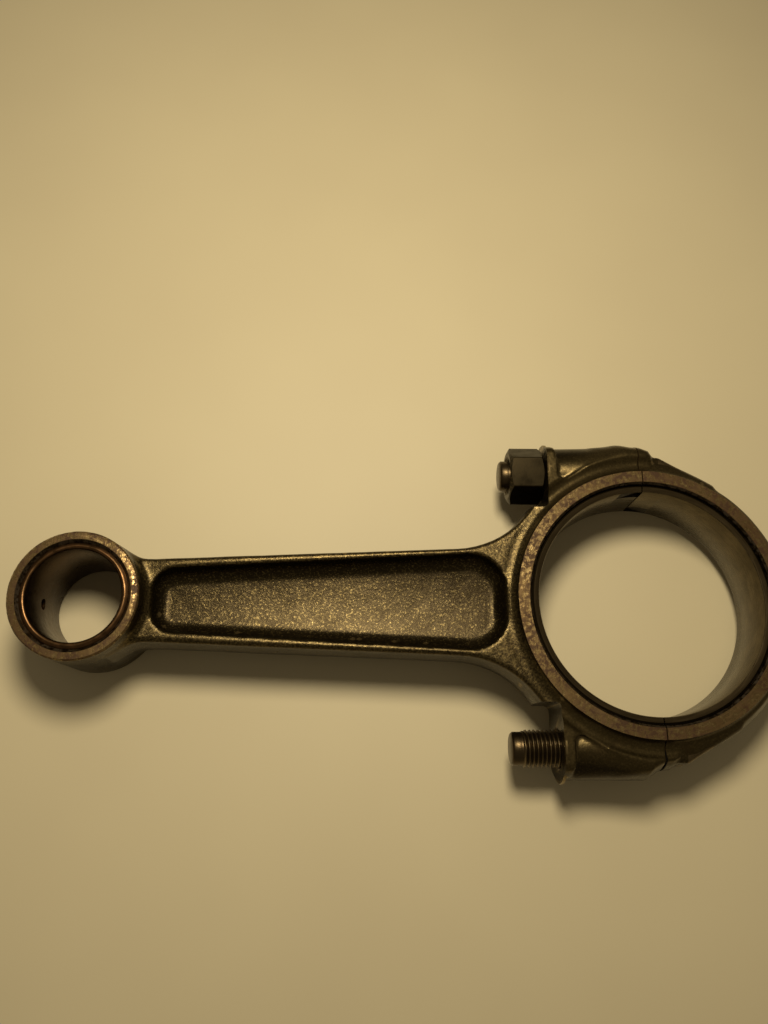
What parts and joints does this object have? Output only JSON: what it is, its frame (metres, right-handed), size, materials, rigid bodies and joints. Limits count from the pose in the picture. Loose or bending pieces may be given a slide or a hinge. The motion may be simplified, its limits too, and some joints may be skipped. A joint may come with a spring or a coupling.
{
  "type": "connecting rod",
  "caption": "Forged I-section connecting rod with a bushed small end, a split big end lined with bearing shells, and a bolted cap that draws off as its nut is turned.",
  "frame": {"origin": "centre of the bounding box in plan, on the face that the rod rests on", "axes": "+X from the small end's bore axis to the big end's bore axis, +Z along both bores"},
  "size_m": [0.1888, 0.0848, 0.0247],
  "materials": {
    "forged_steel": "forged, oily and lightly rusted, with machined faces",
    "bearing_metal": "satin, worn",
    "bush_bronze": "satin, tarnished",
    "bolt_steel": "machined, oily",
    "black_oxide": "black oxide, oily"
  },
  "bodies": {
    "rod": {"rod_body": "forged_steel", "small_end_bush": "bush_bronze", "rod_bearing_shell": "bearing_metal"},
    "cap": {"big_end_cap": "forged_steel", "cap_bearing_shell": "bearing_metal", "upper_rod_bolt": "bolt_steel", "lower_rod_bolt": "bolt_steel"},
    "nut": {"rod_nut": "black_oxide"}
  },
  "joints": [
    {"name": "cap_slide", "type": "slide", "parent": "rod", "child": "cap", "axis": [1, 0, 0], "range_m": [0, 0.008]},
    {"name": "nut_turn", "type": "hinge", "parent": "rod", "child": "nut", "pos_m": [0.03465, 0.0342, 0.01235], "axis": [-1, 0, 0], "range_deg": [0, 2881]}
  ],
  "couplings": [
    {"joint": "nut_turn", "follows": "cap_slide", "rad_per_m": 6283.2}
  ]
}
